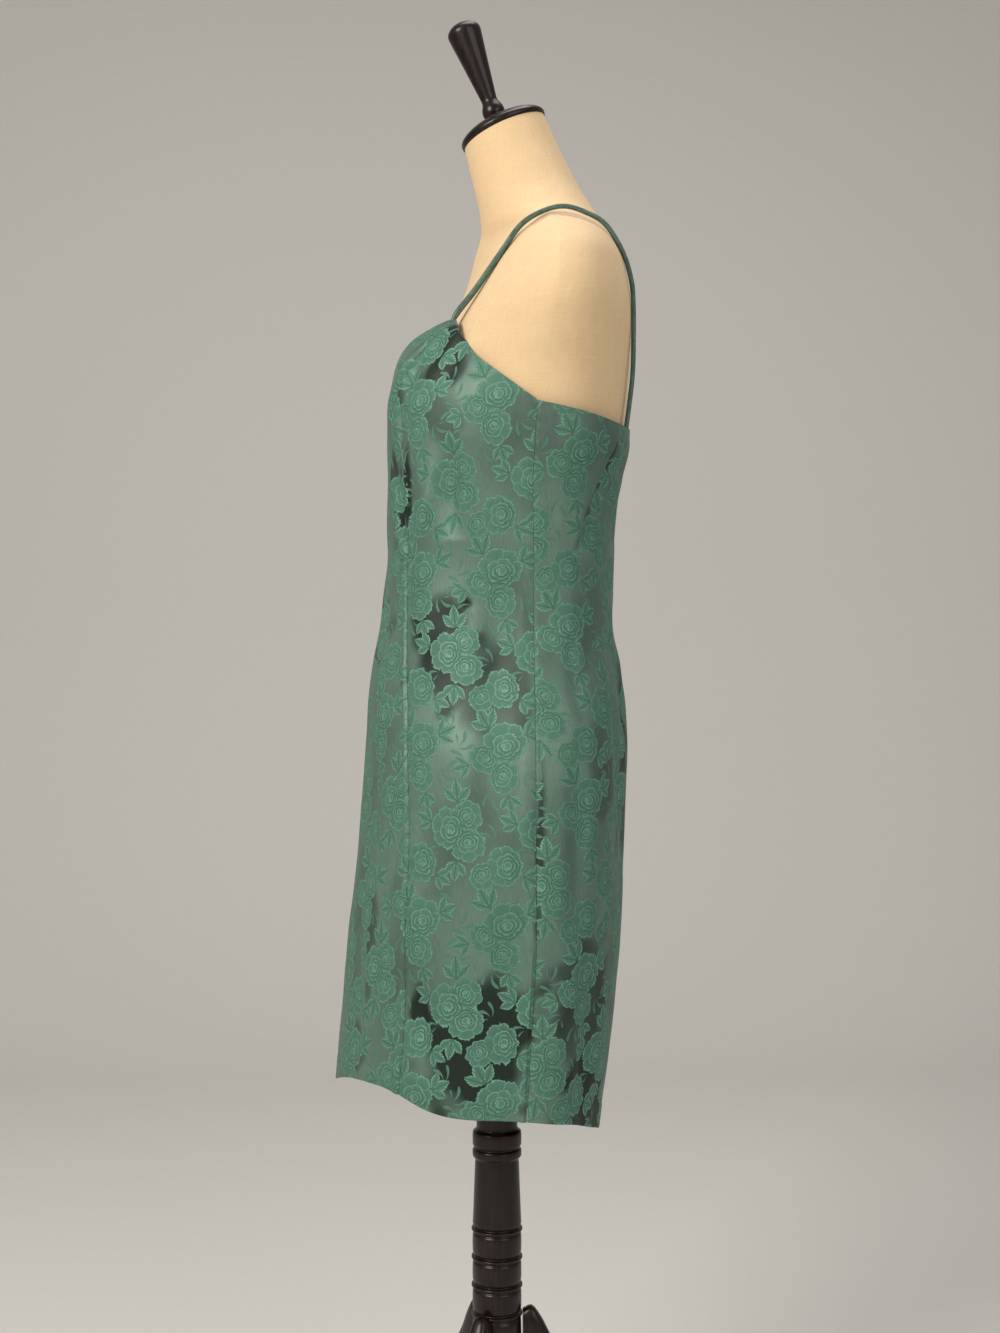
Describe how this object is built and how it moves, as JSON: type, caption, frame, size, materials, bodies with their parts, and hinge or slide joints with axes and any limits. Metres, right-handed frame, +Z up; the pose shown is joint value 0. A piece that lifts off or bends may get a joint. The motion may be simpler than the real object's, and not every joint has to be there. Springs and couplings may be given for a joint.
{
  "type": "mini dress on a dress form",
  "caption": "Spaghetti-strap princess-seamed mini dress in rose jacquard satin, resting on a limbless linen dress form with a turned wooden pole and tripod.",
  "frame": {"origin": "on the floor, under the middle of the bounding box", "axes": "+Z up, the dress's front faces -Y and the wearer's left is +X"},
  "size_m": [0.4928, 0.438, 1.5372],
  "materials": {
    "satin": "jacquard satin",
    "linen": "plain woven linen",
    "wood": "dark stained, gloss varnish"
  },
  "bodies": {
    "root": {"centre_front": "satin", "side_front_left": "satin", "side_front_right": "satin", "back_left": "satin", "back_right": "satin", "strap_left": "satin", "strap_right": "satin", "form_torso": "linen", "neck_cap": "wood", "finial": "wood", "stand_column": "wood", "leg_back": "wood", "leg_front_left": "wood", "leg_front_right": "wood"}
  },
  "joints": []
}
